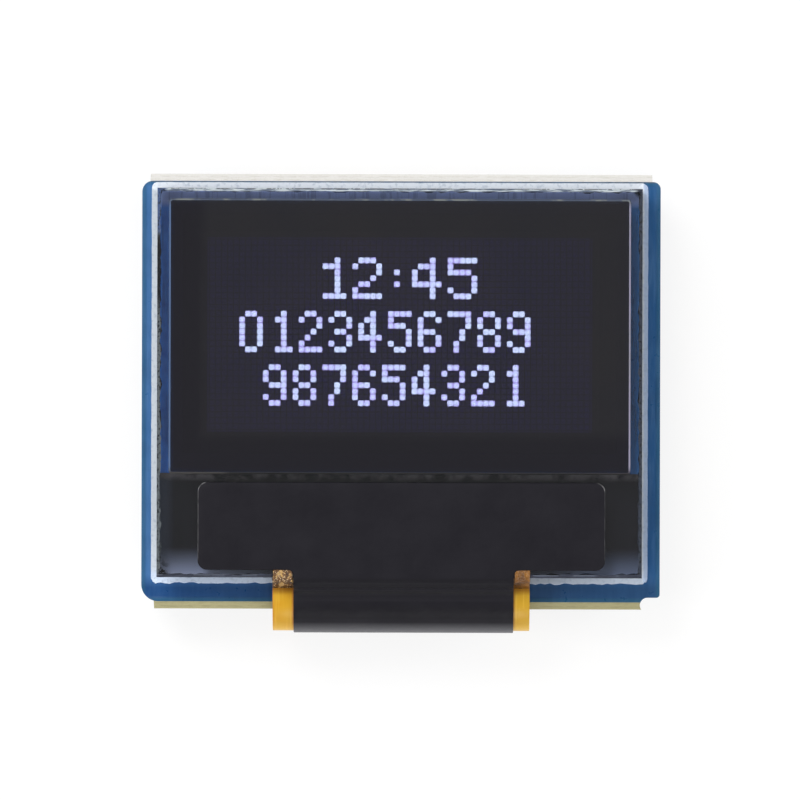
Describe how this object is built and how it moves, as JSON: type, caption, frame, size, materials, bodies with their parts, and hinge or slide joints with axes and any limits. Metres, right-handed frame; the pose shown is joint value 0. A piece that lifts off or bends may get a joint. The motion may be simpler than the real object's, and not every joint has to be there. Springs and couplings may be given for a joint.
{
  "type": "small dot-matrix display module",
  "caption": "Thumbnail-size dot-matrix display panel on a blue circuit board, with an amber flex folded round the board's lower edge under black tape.",
  "frame": {"origin": "centre of the circuit board's back face", "axes": "+Z out of the display's front, +Y to the display's top edge away from the folded flex, +X to the display's right seen from the front"},
  "size_m": [0.0154, 0.0135, 0.0035],
  "materials": {
    "board_laminate": "glass-epoxy laminate, snapped and routed edges",
    "solder_mask": "blue solder mask, satin gloss",
    "white_ink": "screen printed ink, slightly ragged edge",
    "adhesive_tape": "double-sided adhesive",
    "black_foam": "dense black foam",
    "display_glass": "clear cut glass",
    "seal_resin": "cured resin seal",
    "desiccant": "pressed getter sheet",
    "emitter": "dark emitter stack",
    "lit_pixel": "glowing bluish white",
    "polarizer": "dark neutral film, satin gloss",
    "silicon": "polished die",
    "bond_film": "conductive bonding film",
    "amber_film": "amber polyimide film",
    "gold_plate": "thin gold plating over copper",
    "solder": "reflowed solder",
    "black_tape": "satin black tape",
    "clear_glue": "clear cured glue over the film",
    "moulded_epoxy": "moulded black epoxy",
    "tin_plate": "matt tin plating",
    "capacitor_ceramic": "tan barium ceramic",
    "white_ceramic": "white alumina",
    "resistor_coat": "black glaze"
  },
  "bodies": {
    "root": {"circuit_board": "board_laminate", "front_solder_mask": "solder_mask", "back_solder_mask": "solder_mask", "printed_frame": "white_ink", "mounting_tape": "adhesive_tape", "ledge_pad": "black_foam", "front_glass": "display_glass", "cap_glass": "display_glass", "seal_bead": "seal_resin", "desiccant_sheet": "desiccant", "emitter_layer": "emitter", "lit_pixels": "lit_pixel", "polarizer_film": "polarizer", "driver_chip": "silicon", "chip_bond": "bond_film", "flex_bond": "bond_film", "flex_cable": "amber_film", "flex_contacts": "gold_plate", "flex_pads": "gold_plate", "flex_solder": "solder", "interface_pads": "gold_plate", "component_pads": "gold_plate", "component_solder": "solder", "protective_tape": "black_tape", "edge_glue": "clear_glue", "regulator_body": "moulded_epoxy", "regulator_leads": "tin_plate", "supply_capacitor_body": "capacitor_ceramic", "supply_capacitor_terminals": "tin_plate", "panel_capacitor_body": "capacitor_ceramic", "panel_capacitor_terminals": "tin_plate", "input_capacitor_body": "capacitor_ceramic", "input_capacitor_terminals": "tin_plate", "pump_capacitor_a_body": "capacitor_ceramic", "pump_capacitor_a_terminals": "tin_plate", "pump_capacitor_b_body": "capacitor_ceramic", "pump_capacitor_b_terminals": "tin_plate", "logic_capacitor_body": "capacitor_ceramic", "logic_capacitor_terminals": "tin_plate", "current_resistor_body": "white_ceramic", "current_resistor_terminals": "tin_plate", "current_resistor_overcoat": "resistor_coat", "reset_resistor_body": "white_ceramic", "reset_resistor_terminals": "tin_plate", "reset_resistor_overcoat": "resistor_coat", "pull_up_resistor_a_body": "white_ceramic", "pull_up_resistor_a_terminals": "tin_plate", "pull_up_resistor_a_overcoat": "resistor_coat", "pull_up_resistor_b_body": "white_ceramic", "pull_up_resistor_b_terminals": "tin_plate", "pull_up_resistor_b_overcoat": "resistor_coat"}
  },
  "joints": []
}
